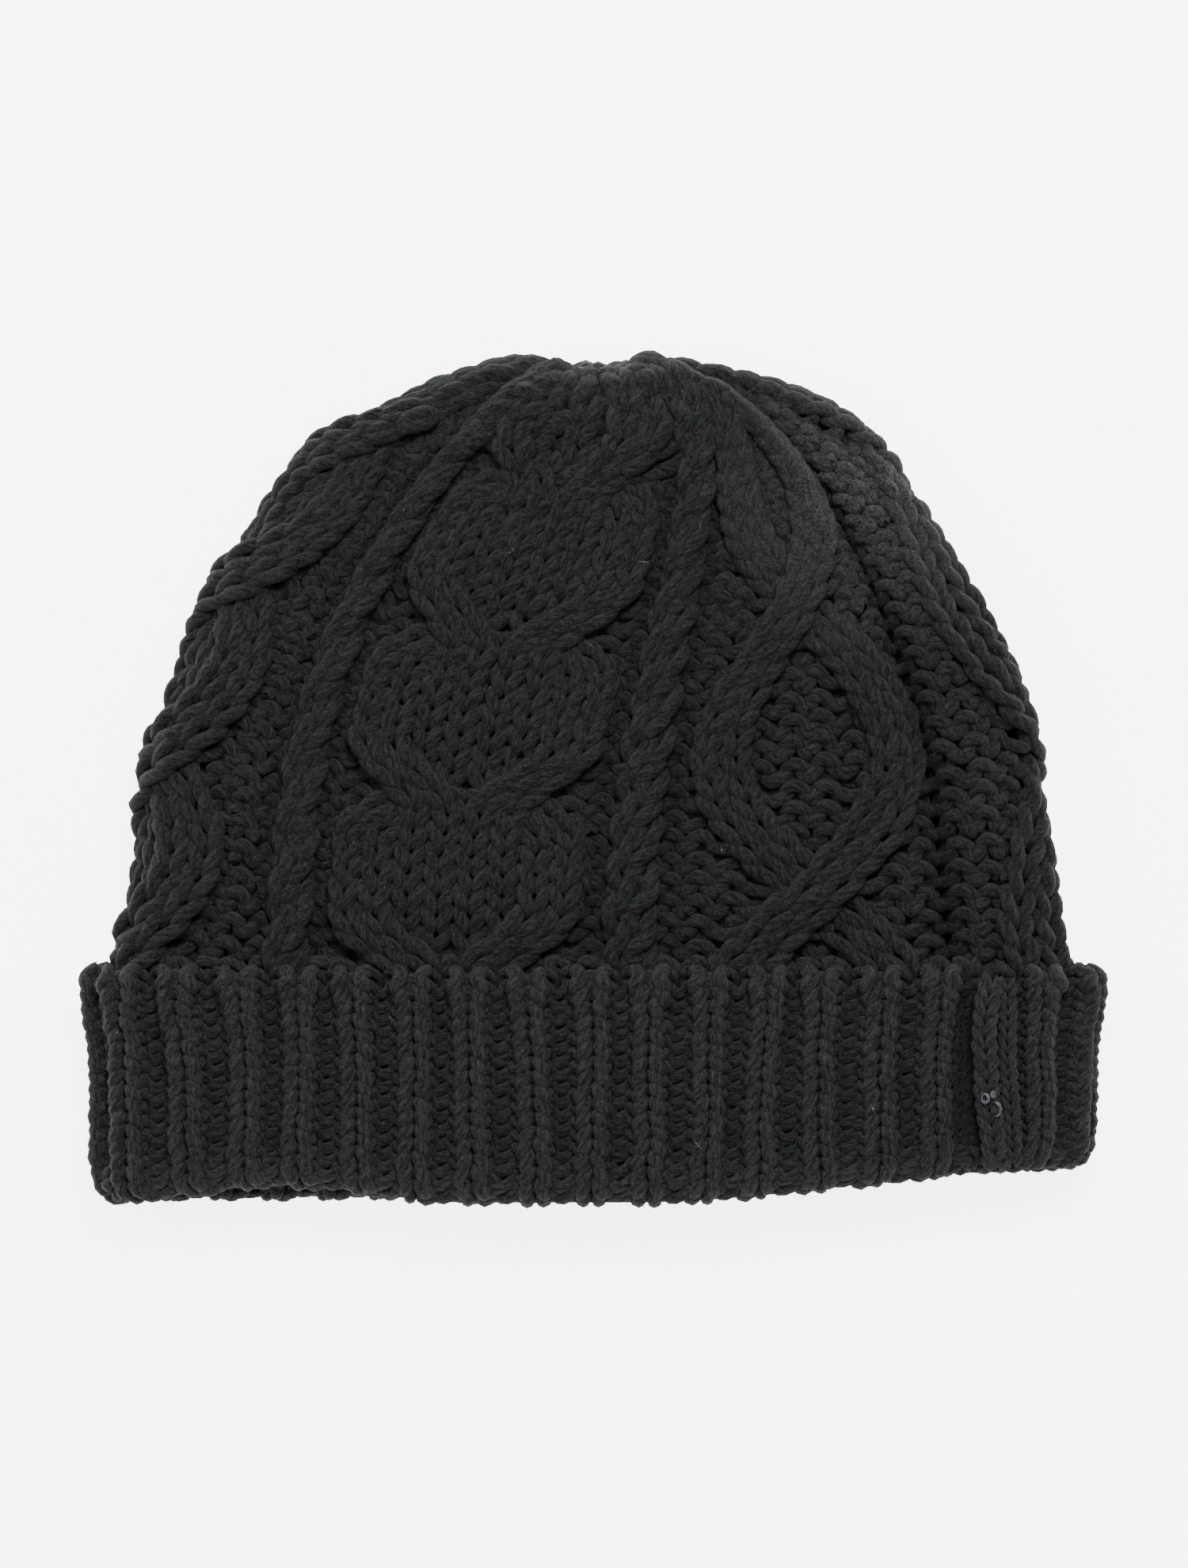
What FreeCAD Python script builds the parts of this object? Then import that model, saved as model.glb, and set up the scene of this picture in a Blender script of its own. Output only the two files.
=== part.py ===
"""Chunky cable-knit beanie with a turned-up rib cuff, lying flat on its back.

Millimetres. +X is across the hat, +Y runs from the head opening to the crown and +Z is up through
the two layers. The origin is the middle of the underside, so the hat rests on z = 0.
Every knitted part is a plain closed shell with the true outer shape and its real hollow.
"""

import FreeCAD, Part
import math
import os

import Sketcher

DOC = FreeCAD.newDocument("cable_beanie")
V = FreeCAD.Vector
START, END, CENTRE = 1, 2, 3
ORIGIN = -1
Y_AXIS = -2

DRIVING = {
    # whole hat, lying flat
    "hat_length": 198.6,
    # turned-up cuff: the outer ring of rib
    "cuff_half_width": 120.0,
    "cuff_thickness": 34.0,
    "cuff_depth": 54.8,
    "rib_wall": 6.0,
    "layer_gap": 0.5,
    "cast_on_depth": 3.0,
    "hem_depth": 5.5,
    "hem_round": 4.0,
    "cuff_seam_x": 92.0,
    "cuff_seam_width": 11.0,
    "cuff_seam_proud": 2.5,
    # inner band: the ring of rib inside the cuff
    "band_wall": 5.5,
    # cable-knit body above the cuff
    "body_half_width": 110.0,
    "body_thickness": 31.0,
    "body_round": 13.5,
    "body_wall": 9.0,
    "widest_from_hem": 63.5,
    "side_radius": 175.0,
    "shoulder_radius": 56.6,
    "crown_radius": 140.0,
    "cavity_low": 9.5,
    "cavity_high": 22.0,
    "cavity_round": 5.0,
    # sewn seam: a raised strip inside the hat
    "seam_width": 6.0,
    "seam_height": 2.5,
    "seam_x": 88.0,
    "seam_radius": 154.0,
    "seam_centre_y": -28.5,
    "seam_angle": 40.0,
    "seam_gap": 0.5,
    # drawn-closed crown and the end of yarn that closes it
    "gather_radius": 8.0,
    "yarn_radius": 1.5,
    "yarn_drop": 14.0,
    "yarn_bend": 6.0,
    "yarn_along": 22.0,
}


def make_sheet():
    sheet = DOC.addObject("Spreadsheet::Sheet", "Dimensions")
    for row, (alias, value) in enumerate(DRIVING.items(), start=1):
        sheet.set(f"A{row}", alias)
        sheet.set(f"B{row}", str(value))
        sheet.setAlias(f"B{row}", alias)
    DOC.recompute()
    return sheet


SHEET = make_sheet()


def size(alias):
    """A driving dimension, read back from the sheet."""
    return float(getattr(SHEET, alias))


def bind(thing, path, expression):
    """Binds a property to an expression in which <name> stands for a driving dimension."""
    thing.setExpression(path, expression.replace("<", "Dimensions.").replace(">", ""))


def new_body(label):
    body = DOC.addObject("PartDesign::Body", label + "_body")
    body.Label = label
    return body


def new_sketch(body, name, role):
    sketch = body.newObject("Sketcher::SketchObject", name)
    plane = next(feature for feature in body.Origin.OriginFeatures if feature.Role == role)
    sketch.AttachmentSupport = (plane, [""])
    sketch.MapMode = "FlatFace"
    return sketch


def name_constraint(sketch, index, name, expression):
    sketch.renameConstraint(index, name)
    bind(sketch, f"Constraints.{name}", expression)


def add_stadium(sketch, name, half_width, thickness):
    """A flat oval about the sketch's origin: two straight sides and two half circles."""
    half, depth = starting(half_width), starting(thickness)
    radius = depth / 2
    reach = half - radius
    right = Part.ArcOfCircle(Part.Circle(V(reach, 0, 0), V(0, 0, 1), radius), -math.pi / 2, math.pi / 2)
    left = Part.ArcOfCircle(Part.Circle(V(-reach, 0, 0), V(0, 0, 1), radius), math.pi / 2, 1.5 * math.pi)
    first = sketch.addGeometry(right, False)
    upper = sketch.addGeometry(Part.LineSegment(V(reach, radius, 0), V(-reach, radius, 0)), False)
    second = sketch.addGeometry(left, False)
    lower = sketch.addGeometry(Part.LineSegment(V(-reach, -radius, 0), V(reach, -radius, 0)), False)
    for one, other in ((first, upper), (upper, second), (second, lower), (lower, first)):
        sketch.addConstraint(Sketcher.Constraint("Tangent", one, END, other, START))
    sketch.addConstraint(Sketcher.Constraint("PointOnObject", first, CENTRE, ORIGIN))
    sketch.addConstraint(Sketcher.Constraint("Symmetric", first, CENTRE, second, CENTRE, ORIGIN, 1))
    sketch.addConstraint(Sketcher.Constraint("Equal", first, second))
    index = sketch.addConstraint(Sketcher.Constraint("Radius", first, radius))
    name_constraint(sketch, index, name + "_radius", f"({thickness}) / 2")
    index = sketch.addConstraint(Sketcher.Constraint("DistanceX", second, CENTRE, first, CENTRE, 2 * reach))
    name_constraint(sketch, index, name + "_reach", f"2 * ({half_width}) - ({thickness})")


def starting(expression):
    """The value of a sum or product of driving dimensions, for a sketch's starting shape."""
    total = 0.0
    for term in expression.replace(" - ", " + -1 * ").split(" + "):
        product = 1.0
        for factor in term.split(" * "):
            product *= size(factor[1:-1]) if factor.startswith("<") else float(factor)
        total += product
    return total


# Nested flat ovals of the rib, each as (half width, thickness).
CUFF_OUTSIDE = ("<cuff_half_width>", "<cuff_thickness>")
CUFF_INSIDE = ("<cuff_half_width> - <rib_wall>", "<cuff_thickness> - 2 * <rib_wall>")
BAND_OUTSIDE = (
    "<cuff_half_width> - <rib_wall> - <layer_gap>",
    "<cuff_thickness> - 2 * <rib_wall> - 2 * <layer_gap>",
)
BAND_INSIDE = (
    "<cuff_half_width> - <rib_wall> - <layer_gap> - <band_wall>",
    "<cuff_thickness> - 2 * <rib_wall> - 2 * <layer_gap> - 2 * <band_wall>",
)

# Heights along the hat, from the folded hem at the low end.
HEM_END = "-0.5 * <hat_length>"
CUFF_LOW = "-0.5 * <hat_length> + <hem_depth>"
BAND_LOW = "-0.5 * <hat_length> + <hem_depth> + <layer_gap>"
CUFF_TOP = "-0.5 * <hat_length> + <cuff_depth>"
CAST_ON_LOW = "-0.5 * <hat_length> + <cuff_depth> - <cast_on_depth>"
BODY_LOW = "-0.5 * <hat_length> + <cuff_depth> + <layer_gap>"
MIDDLE_HEIGHT = "0.5 * <cuff_thickness>"


def ring(label, outside, inside, low, high):
    """A tube of flat oval section that runs along Y from low to high."""
    body = new_body(label)
    sketch = new_sketch(body, label + "_section", "XZ_Plane")
    add_stadium(sketch, "outside", *outside)
    add_stadium(sketch, "inside", *inside)
    pad = body.newObject("PartDesign::Pad", label + "_wall")
    pad.Profile = sketch
    bind(pad, "Length", f"({high}) - ({low})")
    bind(body, "Placement.Base.y", high)
    bind(body, "Placement.Base.z", MIDDLE_HEIGHT)
    DOC.recompute()
    return body, pad


def make_rib_rings():
    """The rib layers: the band next to the head, and the cuff turned up around it."""
    band, _ = ring("inner_band", BAND_OUTSIDE, BAND_INSIDE, BAND_LOW, BODY_LOW)
    cuff, _ = ring("turn_up_cuff", CUFF_OUTSIDE, CUFF_INSIDE, CUFF_LOW, CAST_ON_LOW)
    edge, _ = ring("cast_on_edge", CUFF_OUTSIDE, CUFF_INSIDE, CAST_ON_LOW, CUFF_TOP)
    return [band, cuff, edge]


def make_folded_hem():
    """The roll of rib at the head opening that joins the cuff to the band, rounded at its low end."""
    body, pad = ring("folded_hem", CUFF_OUTSIDE, BAND_INSIDE, HEM_END, CUFF_LOW)
    low_end = -size("hem_depth")
    edges = [
        f"Edge{number}"
        for number, edge in enumerate(pad.Shape.Edges, start=1)
        if all(abs(vertex.Point.y - low_end) < 1e-6 for vertex in edge.Vertexes)
    ]
    fillet = body.newObject("PartDesign::Fillet", "hem_rounding")
    fillet.Base = (pad, edges)
    bind(fillet, "Radius", "<hem_round>")
    DOC.recompute()
    return body


def add_hat_outline(sketch, inset, low):
    """The body's outline, set in by inset: a straight low edge, long side curves, tighter
    shoulders and a shallow crown, every arc tangent to the next."""
    wall = starting(inset)
    floor = starting(low)
    crown, shoulder, side = (size(name) - wall for name in ("crown_radius", "shoulder_radius", "side_radius"))
    side_x = size("body_half_width") - size("side_radius")
    side_y = size("widest_from_hem") - size("hat_length") / 2
    crown_y = size("hat_length") / 2 - size("crown_radius")
    shoulder_x, shoulder_y = shoulder_centre(side_x, side_y, crown_y)
    turn_1 = math.atan2(shoulder_y - side_y, shoulder_x - side_x)
    turn_2 = math.atan2(shoulder_y - crown_y, shoulder_x)
    start = math.asin((floor - side_y) / side)
    side_end = side_x + side * math.cos(start)

    def arc(x, y, radius, begin, finish):
        return sketch.addGeometry(
            Part.ArcOfCircle(Part.Circle(V(x, y, 0), V(0, 0, 1), radius), begin, finish), False
        )

    right_side = arc(side_x, side_y, side, start, turn_1)
    right_shoulder = arc(shoulder_x, shoulder_y, shoulder, turn_1, turn_2)
    top = arc(0, crown_y, crown, turn_2, math.pi - turn_2)
    left_shoulder = arc(-shoulder_x, shoulder_y, shoulder, math.pi - turn_2, math.pi - turn_1)
    left_side = arc(-side_x, side_y, side, math.pi - turn_1, math.pi - start)
    low_edge = sketch.addGeometry(Part.LineSegment(V(-side_end, floor, 0), V(side_end, floor, 0)), False)

    chain = (right_side, right_shoulder, top, left_shoulder, left_side)
    for one, other in zip(chain, chain[1:]):
        sketch.addConstraint(Sketcher.Constraint("Tangent", one, END, other, START))
    sketch.addConstraint(Sketcher.Constraint("Coincident", left_side, END, low_edge, START))
    sketch.addConstraint(Sketcher.Constraint("Coincident", low_edge, END, right_side, START))
    sketch.addConstraint(Sketcher.Constraint("Horizontal", low_edge))
    sketch.addConstraint(Sketcher.Constraint("PointOnObject", top, CENTRE, Y_AXIS))

    radii = (
        ("top", top, "crown_radius", crown),
        ("right_shoulder", right_shoulder, "shoulder_radius", shoulder),
        ("left_shoulder", left_shoulder, "shoulder_radius", shoulder),
        ("right_side", right_side, "side_radius", side),
        ("left_side", left_side, "side_radius", side),
    )
    for name, geometry, alias, radius in radii:
        index = sketch.addConstraint(Sketcher.Constraint("Radius", geometry, radius))
        name_constraint(sketch, index, name + "_radius", f"<{alias}> - ({inset})")
    heights = (
        ("top_centre", top, "0.5 * <hat_length> - <crown_radius>", crown_y),
        ("right_side_height", right_side, "<widest_from_hem> - 0.5 * <hat_length>", side_y),
        ("left_side_height", left_side, "<widest_from_hem> - 0.5 * <hat_length>", side_y),
    )
    for name, geometry, expression, value in heights:
        index = sketch.addConstraint(Sketcher.Constraint("DistanceY", ORIGIN, 1, geometry, CENTRE, value))
        name_constraint(sketch, index, name, expression)
    widths = (
        ("right_side_centre", right_side, "<body_half_width> - <side_radius>", side_x),
        ("left_side_centre", left_side, "<side_radius> - <body_half_width>", -side_x),
    )
    for name, geometry, expression, value in widths:
        index = sketch.addConstraint(Sketcher.Constraint("DistanceX", ORIGIN, 1, geometry, CENTRE, value))
        name_constraint(sketch, index, name, expression)
    index = sketch.addConstraint(Sketcher.Constraint("DistanceY", ORIGIN, 1, low_edge, START, floor))
    name_constraint(sketch, index, "low_edge_height", low)


def shoulder_centre(side_x, side_y, crown_y):
    """Centre of the shoulder arc, which touches the side arc and the crown arc from inside."""
    from_side = size("side_radius") - size("shoulder_radius")
    from_crown = size("crown_radius") - size("shoulder_radius")
    across, up = -side_x, crown_y - side_y
    apart = math.hypot(across, up)
    along = (from_side**2 - from_crown**2 + apart**2) / (2 * apart)
    aside = math.sqrt(from_side**2 - along**2)
    across, up = across / apart, up / apart
    return side_x + along * across - aside * up, side_y + along * up + aside * across


def outline_pad(label, inset, low_edge, low, high):
    """A plate of the hat's outline between two heights."""
    body = new_body(label)
    sketch = new_sketch(body, label + "_outline", "XY_Plane")
    add_hat_outline(sketch, inset, low_edge)
    pad = body.newObject("PartDesign::Pad", label + "_plate")
    pad.Profile = sketch
    bind(pad, "Length", f"({high}) - ({low})")
    bind(body, "Placement.Base.z", low)
    DOC.recompute()
    return body, pad


def round_outline(body, pad, low_edge, radius):
    """Rounds every edge of the plate's two faces except those at the open low end."""
    floor = starting(low_edge)
    faces = (0.0, pad.Shape.BoundBox.ZMax)
    edges = []
    for number, edge in enumerate(pad.Shape.Edges, start=1):
        points = [vertex.Point for vertex in edge.Vertexes]
        flat = any(all(abs(point.z - face) < 1e-6 for point in points) for face in faces)
        at_floor = all(abs(point.y - floor) < 1e-6 for point in points)
        if flat and not at_floor:
            edges.append(f"Edge{number}")
    fillet = body.newObject("PartDesign::Fillet", body.Label + "_rounding")
    fillet.Base = (pad, edges)
    bind(fillet, "Radius", radius)
    DOC.recompute()


def make_cable_body():
    """The body: a rounded plate of the hat's outline, hollowed from its low end, with a round
    opening through the crown that the gather closes."""
    outer, pad = outline_pad("body_outside", "0 * <body_wall>", BODY_LOW, "0 * <body_wall>", "<body_thickness>")
    round_outline(outer, pad, BODY_LOW, "<body_round>")
    past_end = BODY_LOW + " - <body_wall>"
    inner, pad = outline_pad("body_hollow", "<body_wall>", past_end, "<cavity_low>", "<cavity_high>")
    round_outline(inner, pad, past_end, "<cavity_round>")
    shell = DOC.addObject("Part::Cut", "body_shell")
    shell.Base = outer
    shell.Tool = inner
    opening = DOC.addObject("Part::Cylinder", "crown_opening")
    bind(opening, "Radius", "<gather_radius>")
    bind(opening, "Height", "2 * <body_wall>")
    stand_at_crown(opening)
    body = DOC.addObject("Part::Cut", "cable_body_cut")
    body.Base = shell
    body.Tool = opening
    body.Label = "cable_body"
    DOC.recompute()
    return body


def stand_at_crown(cylinder):
    """Lays a cylinder along Y, centred on the body's thickness, from one wall in to past the crown."""
    cylinder.Placement = FreeCAD.Placement(V(0, 0, 0), FreeCAD.Rotation(V(1, 0, 0), -90))
    bind(cylinder, "Placement.Base.y", "0.5 * <hat_length> - <body_wall>")
    bind(cylinder, "Placement.Base.z", "0.5 * <body_thickness>")


def make_crown_gather():
    """The last stitches drawn together: a round plug that fills the crown's opening."""
    gather = DOC.addObject("Part::Cylinder", "crown_gather_plug")
    gather.Label = "crown_gather"
    bind(gather, "Radius", "<gather_radius>")
    bind(gather, "Height", "<body_wall>")
    stand_at_crown(gather)
    DOC.recompute()
    return gather


def make_gather_yarn():
    """The end of the drawstring yarn: out of the gather, one bend, and along inside the front."""
    body = new_body("gather_yarn_end")
    path = new_sketch(body, "yarn_path", "XY_Plane")
    drop, bend, along = size("yarn_drop"), size("yarn_bend"), size("yarn_along")
    straight = path.addGeometry(Part.LineSegment(V(0, 0, 0), V(0, bend - drop, 0)), False)
    turn = Part.ArcOfCircle(Part.Circle(V(bend, bend - drop, 0), V(0, 0, 1), bend), math.pi, 1.5 * math.pi)
    corner = path.addGeometry(turn, False)
    tail = path.addGeometry(Part.LineSegment(V(bend, -drop, 0), V(bend + along, -drop, 0)), False)
    path.addConstraint(Sketcher.Constraint("Coincident", straight, START, ORIGIN, 1))
    path.addConstraint(Sketcher.Constraint("Vertical", straight))
    path.addConstraint(Sketcher.Constraint("Tangent", straight, END, corner, START))
    path.addConstraint(Sketcher.Constraint("Tangent", corner, END, tail, START))
    path.addConstraint(Sketcher.Constraint("Horizontal", tail))
    index = path.addConstraint(Sketcher.Constraint("Radius", corner, bend))
    name_constraint(path, index, "bend", "<yarn_bend>")
    index = path.addConstraint(Sketcher.Constraint("DistanceX", tail, START, tail, END, along))
    name_constraint(path, index, "along", "<yarn_along>")
    index = path.addConstraint(Sketcher.Constraint("DistanceY", tail, START, ORIGIN, 1, drop))
    name_constraint(path, index, "drop", "<yarn_drop>")
    section = new_sketch(body, "yarn_section", "XZ_Plane")
    circle = section.addGeometry(Part.Circle(V(0, 0, 0), V(0, 0, 1), size("yarn_radius")), False)
    section.addConstraint(Sketcher.Constraint("Coincident", circle, CENTRE, ORIGIN, 1))
    index = section.addConstraint(Sketcher.Constraint("Radius", circle, size("yarn_radius")))
    name_constraint(section, index, "yarn_size", "<yarn_radius>")
    pipe = body.newObject("PartDesign::AdditivePipe", "yarn")
    pipe.Profile = section
    pipe.Spine = path
    bind(body, "Placement.Base.y", "0.5 * <hat_length> - <body_wall>")
    bind(body, "Placement.Base.z", "0.5 * <cavity_low> + 0.5 * <cavity_high>")
    DOC.recompute()
    return body


def make_body_seam():
    """The sewn seam inside the body: a curved strip under the front layer that leans with the side."""
    radius, half = size("seam_radius"), size("seam_width") / 2
    sweep = math.radians(size("seam_angle"))
    begin = math.asin((starting(BODY_LOW) + size("seam_gap") - size("seam_centre_y")) / radius)
    centre = V(size("seam_x") - radius * math.cos(begin), size("seam_centre_y"), 0)
    up = V(0, 0, 1)
    outer = Part.ArcOfCircle(Part.Circle(centre, up, radius + half), begin, begin + sweep).toShape()
    inner = Part.ArcOfCircle(Part.Circle(centre, up, radius - half), begin, begin + sweep).toShape()
    outer_ends = [vertex.Point for vertex in outer.Vertexes]
    inner_ends = [vertex.Point for vertex in inner.Vertexes]
    caps = [Part.makeLine(*ends) for ends in zip(outer_ends, inner_ends)]
    outline = Part.Wire(Part.__sortEdges__([outer, caps[0], inner, caps[1]]))
    seam = DOC.addObject("Part::Feature", "body_seam_strip")
    seam.Label = "body_seam"
    seam.Shape = Part.Face(outline).extrude(V(0, 0, size("seam_height")))
    seam.Placement = FreeCAD.Placement(V(0, 0, size("cavity_high") - size("seam_height")), FreeCAD.Rotation())
    return seam


def strip(label, centre_x, width, low, high, bottom, tall):
    """A straight strip along Y, one of the stretches of the sewn seam."""
    box = DOC.addObject("Part::Box", label + "_strip")
    box.Label = label
    bind(box, "Length", width)
    bind(box, "Width", f"({high}) - ({low})")
    bind(box, "Height", tall)
    bind(box, "Placement.Base.x", f"({centre_x}) - ({width}) / 2")
    bind(box, "Placement.Base.y", low)
    bind(box, "Placement.Base.z", bottom)
    DOC.recompute()
    return box


def make_straight_seams():
    """The seam's stretch inside the band, and its ridge outside on the turned-up cuff."""
    inside = strip(
        "band_seam",
        "<seam_x>",
        "<seam_width>",
        BAND_LOW,
        BODY_LOW,
        "<cuff_thickness> - <rib_wall> - <layer_gap> - <band_wall> - <seam_height>",
        "<seam_height>",
    )
    outside = strip(
        "cuff_seam",
        "<cuff_seam_x>",
        "<cuff_seam_width>",
        CUFF_LOW,
        CAST_ON_LOW,
        "<cuff_thickness>",
        "<cuff_seam_proud>",
    )
    return [inside, outside]


def check_and_write(parts):
    DOC.recompute()
    for thing in DOC.Objects:
        wrong = {"Invalid", "Error"} & set(thing.State)
        if wrong:
            raise RuntimeError(f"{thing.Label} is {wrong}")
    os.makedirs("parts", exist_ok=True)
    for part in parts:
        if part.Shape.isNull() or not part.Shape.isValid():
            raise RuntimeError(f"{part.Label} has no valid shape")
        if not part.Shape.Solids:
            raise RuntimeError(f"{part.Label} is not a solid")
        part.Shape.exportStep(f"parts/{part.Label}.step")
        box = part.Shape.BoundBox
        print(
            f"{part.Label}: {part.Shape.Volume / 1000:.1f} cm3,"
            f" x {box.XMin:.2f} to {box.XMax:.2f},"
            f" y {box.YMin:.2f} to {box.YMax:.2f},"
            f" z {box.ZMin:.2f} to {box.ZMax:.2f}"
        )


def main():
    parts = [make_cable_body(), make_crown_gather(), make_gather_yarn(), make_body_seam()]
    parts += make_rib_rings()
    parts.append(make_folded_hem())
    parts += make_straight_seams()
    check_and_write(parts)


main()
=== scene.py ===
"""Cable-knit beanie lying flat on its back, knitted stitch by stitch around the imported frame.

Every course is one strand of yarn that follows the loop of each stitch, so the rib, the purl
ground and the cables are geometry. Lengths are in millimetres until a mesh is made. The yarn
end, the camera and the lights are in metres.
"""

import math

import bpy
import numpy as np
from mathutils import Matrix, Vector


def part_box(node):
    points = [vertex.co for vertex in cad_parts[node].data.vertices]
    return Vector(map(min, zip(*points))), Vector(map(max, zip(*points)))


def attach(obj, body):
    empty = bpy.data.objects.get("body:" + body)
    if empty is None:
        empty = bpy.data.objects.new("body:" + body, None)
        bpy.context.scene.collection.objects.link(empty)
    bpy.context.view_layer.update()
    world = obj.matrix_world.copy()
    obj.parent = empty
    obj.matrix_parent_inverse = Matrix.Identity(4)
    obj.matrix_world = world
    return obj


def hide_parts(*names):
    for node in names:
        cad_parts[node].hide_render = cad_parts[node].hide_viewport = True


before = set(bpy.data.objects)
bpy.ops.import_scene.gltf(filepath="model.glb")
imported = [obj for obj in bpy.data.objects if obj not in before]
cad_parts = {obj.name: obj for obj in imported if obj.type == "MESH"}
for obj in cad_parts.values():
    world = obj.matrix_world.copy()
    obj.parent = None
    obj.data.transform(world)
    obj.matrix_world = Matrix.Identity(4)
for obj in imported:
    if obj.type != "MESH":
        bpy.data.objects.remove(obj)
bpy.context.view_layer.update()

MM = 0.001
RNG = np.random.default_rng(20)
KNIT, PURL = 1.0, -1.0
UP = np.array([0.0, 0.0, 1.0])


def span(node):
    """Lowest and highest corners of a CAD node, in millimetres."""
    low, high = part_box(node)
    return np.array(low) / MM, np.array(high) / MM


BODY_MIN, BODY_MAX = span("cable_body")
CUFF_MAX = span("turn_up_cuff")[1]
BAND_MIN, BAND_MAX = span("inner_band")
HEM_MIN = span("folded_hem")[0]
EDGE_MAX = span("cast_on_edge")[1]
TAIL_MIN, TAIL_MAX = span("gather_yarn_end")

# Yarn
BODY_YARN = 1.7
RIB_YARN = 1.6
SIDES = 8
LOWEST = 0.15  # the least height over the floor

# Loops, as shares of a stitch's width and of a row's height
BODY_LOOP = dict(swing=0.215, rise=0.84, depth=1.3, jitter=1.4, tilt=0.30, groove=7.0)
RIB_LOOP = dict(swing=0.17, rise=0.85, depth=1.1, jitter=1.1, tilt=1.0, purl_yarn=0.88)

# Fabric
BODY_HALF = 3.9  # from the body fabric's middle to its outer face
CUFF_HALF = 3.3
BAND_SIDE = 2.9
CUFF_NARROWS = 2.0  # on each side, below the cast-on edge
BODY_ROWS = 31
BODY_BANDS = 4  # pieces that the body's rows are split into
SKIN_INSET = 2.1  # of the body's felted back, from the middle of its loops
LOOP_MIDDLE = 0.45  # rows from a course's line up to the middle of its loops
DECREASE_ROWS = (25, 28.5)
AROUND = 960  # samples around the section
ALONG = 160  # samples from the cuff to the crown
CROWN_WIDTH = 27.0  # half the top edge's flat stretch
GATHER_WIDTH, GATHER_HEIGHT = 6.5, 4.0  # half the section where the crown is drawn up
SIDE_RADIUS, SHOULDER_RADIUS, CROWN_RADIUS = 175.0, 56.6, 140.0  # of the body's outer outline
SIDE_CENTRE_DROP = 135.1  # from the top edge down to the centre of the side's arc
ROW_STEPS = 4  # samples in each row
TABLE_STEPS = 8  # samples of a wale's table in each row


# ---- smooth helpers


def smoothstep(low, high, x):
    """A smooth step from 0 at low to 1 at high, which may be the lower of the two."""
    t = np.clip((x - low) / (high - low), 0, 1)
    return t * t * (3 - 2 * t)


def bump(x, centre, reach):
    """A smooth hill of height 1 at the centre that ends at reach on each side."""
    return smoothstep(0, 1, 1 - np.abs(x - centre) / reach)


def unit(vectors):
    length = np.linalg.norm(vectors, axis=-1, keepdims=True)
    return vectors / np.maximum(length, 1e-9)


def on_circle(angle):
    """Points on a unit circle at some angles."""
    return np.stack([np.cos(angle), np.sin(angle)], axis=1)


def run_length(points):
    """The length along a line to each of its points."""
    steps = np.linalg.norm(np.diff(points, axis=0), axis=1)
    return np.concatenate([[0], np.cumsum(steps)])


def walk(points, count):
    """A line of points walked in a number of even steps."""
    length = run_length(points)
    at = np.linspace(0, length[-1], count)
    return np.stack([np.interp(at, length, column) for column in points.T], axis=1)


def between(grid, i, j, k, s, t):
    """A grid's values at s of the way from row i to the next, and t from column j to column k."""
    low = grid[i, j] * (1 - t) + grid[i, k] * t
    high = grid[i + 1, j] * (1 - t) + grid[i + 1, k] * t
    return low * (1 - s) + high * s


def grid_quads(rows, columns, closed=False):
    """The faces of a tube of points, rows by columns. A closed one's last row joins its first."""
    i = np.arange(rows if closed else rows - 1)[:, None]
    j = np.arange(columns)[None, :]
    next_i, next_j = (i + 1) % rows, (j + 1) % columns
    corners = [i * columns + j, i * columns + next_j, next_i * columns + next_j, next_i * columns + j]
    return np.stack(corners, axis=-1).reshape(-1, 4)


def smooth_noise(count, step):
    """A closed run of smooth random numbers of about unit size, one knot every step samples."""
    knots = max(3, int(round(count / step)))
    values = RNG.normal(size=knots)
    where = np.arange(count) * knots / count
    left = np.floor(where).astype(int)
    t = smoothstep(0, 1, where - left)
    return values[left % knots] * (1 - t) + values[(left + 1) % knots] * t


# ---- surfaces


def section(half_width, half_height, flatness=3.2):
    """A closed flat oval, evenly spaced around, from the front's middle towards +X. It is an
    ellipse at a flatness of 2, and squarer above it."""
    angle = np.linspace(0, 2 * np.pi, 4 * AROUND + 1)
    across, up = np.sin(angle), np.cos(angle)
    x = half_width * np.sign(across) * np.abs(across) ** (2 / flatness)
    z = half_height * np.sign(up) * np.abs(up) ** (2 / flatness)
    length = np.concatenate([[0], np.cumsum(np.hypot(np.diff(x), np.diff(z)))])
    at = np.linspace(0, length[-1], AROUND, endpoint=False)
    return np.interp(at, length, x), np.interp(at, length, z)


class Surface:
    """A closed tube of points: levels along the hat by even steps around it. facing is -1 where
    the levels run down the outside."""

    def __init__(self, points, facing=1):
        self.points = points
        around = np.roll(points, -1, axis=1) - np.roll(points, 1, axis=1)
        along = np.gradient(points, axis=0)
        self.normals = unit(np.cross(around, along)) * facing

    def at(self, level, turn):
        """Points and normals at fractional levels and at fractions of a turn."""
        level = np.clip(level, 0, len(self.points) - 1.001)
        column = (turn % 1.0) * AROUND
        i, j = np.floor(level).astype(int), np.floor(column).astype(int) % AROUND
        s, t = (level - i)[..., None], (column - np.floor(column))[..., None]
        k = (j + 1) % AROUND
        return between(self.points, i, j, k, s, t), unit(between(self.normals, i, j, k, s, t))


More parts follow.
